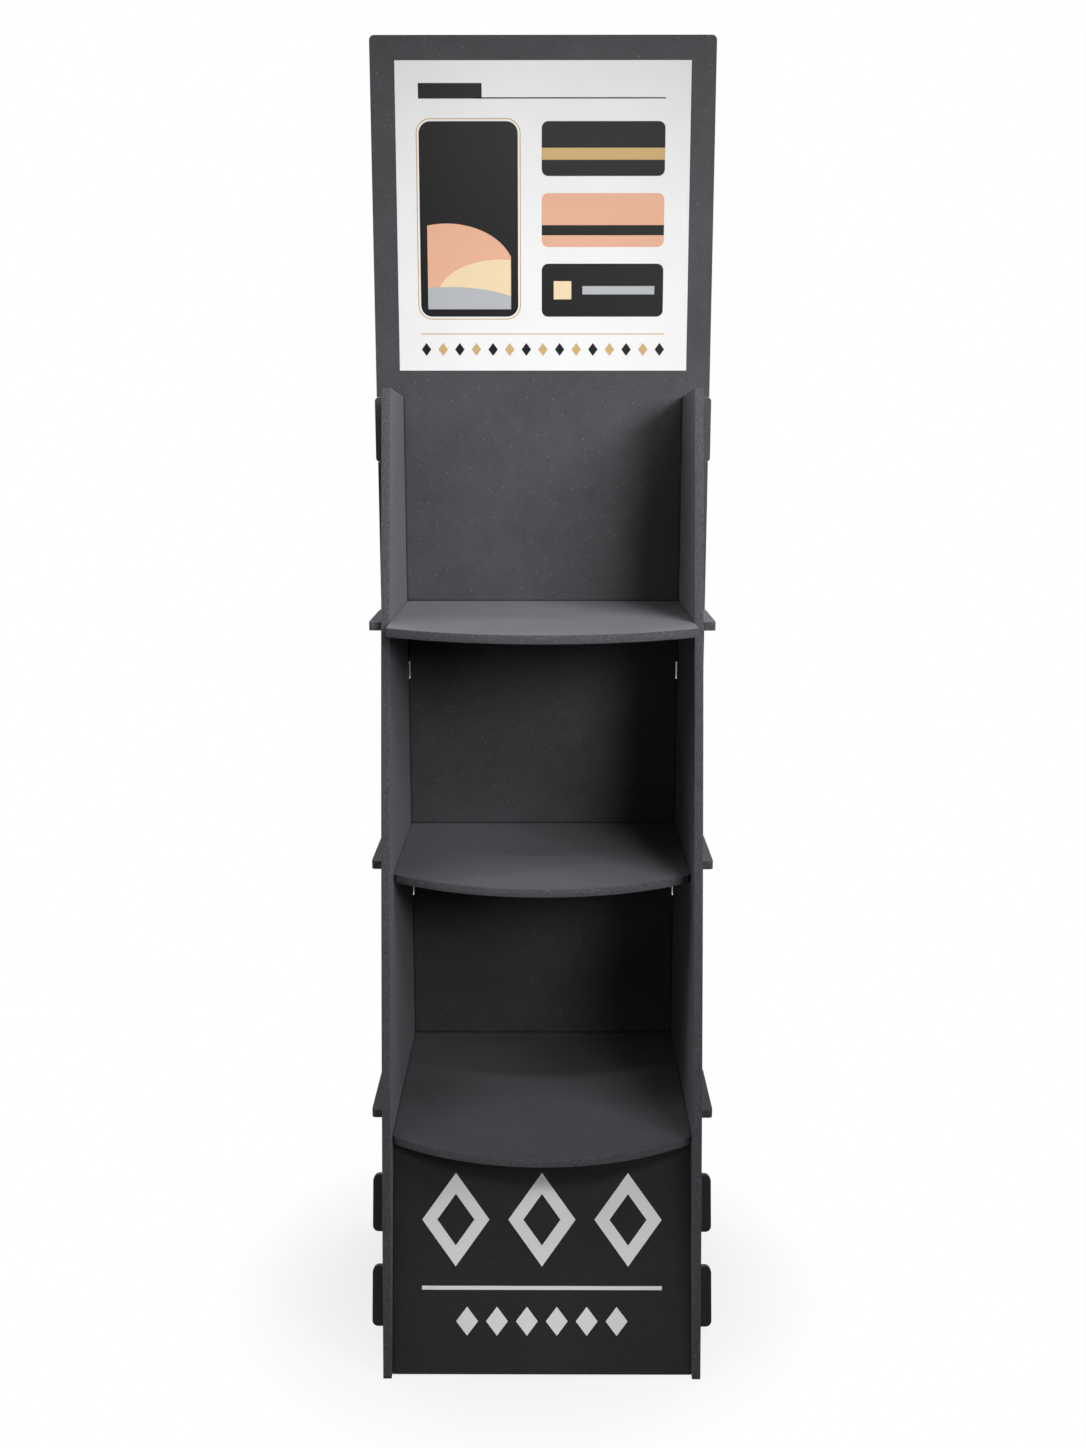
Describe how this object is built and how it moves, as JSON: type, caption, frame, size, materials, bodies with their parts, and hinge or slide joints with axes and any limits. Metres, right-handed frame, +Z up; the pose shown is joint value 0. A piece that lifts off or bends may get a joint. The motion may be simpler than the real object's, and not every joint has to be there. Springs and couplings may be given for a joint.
{
  "type": "display stand",
  "caption": "Tall floor stand of slotted black board with leaning sides, bow-fronted shelves, a kick panel and a header with a printed sheet.",
  "frame": {"origin": "on the floor, at the middle of the stand's outer box", "axes": "+X to the right as a shopper faces the stand, +Y to the back, +Z up"},
  "size_m": [0.428, 0.388, 1.57],
  "materials": {
    "board": "matt black fibre board with a fine speckle",
    "print": "smooth white printed sheet"
  },
  "bodies": {
    "root": {"back_panel": "board", "left_side_panel": "board", "right_side_panel": "board", "top_shelf": "board", "middle_shelf": "board", "bottom_shelf": "board", "base_panel": "board", "header_poster": "print"}
  },
  "joints": []
}
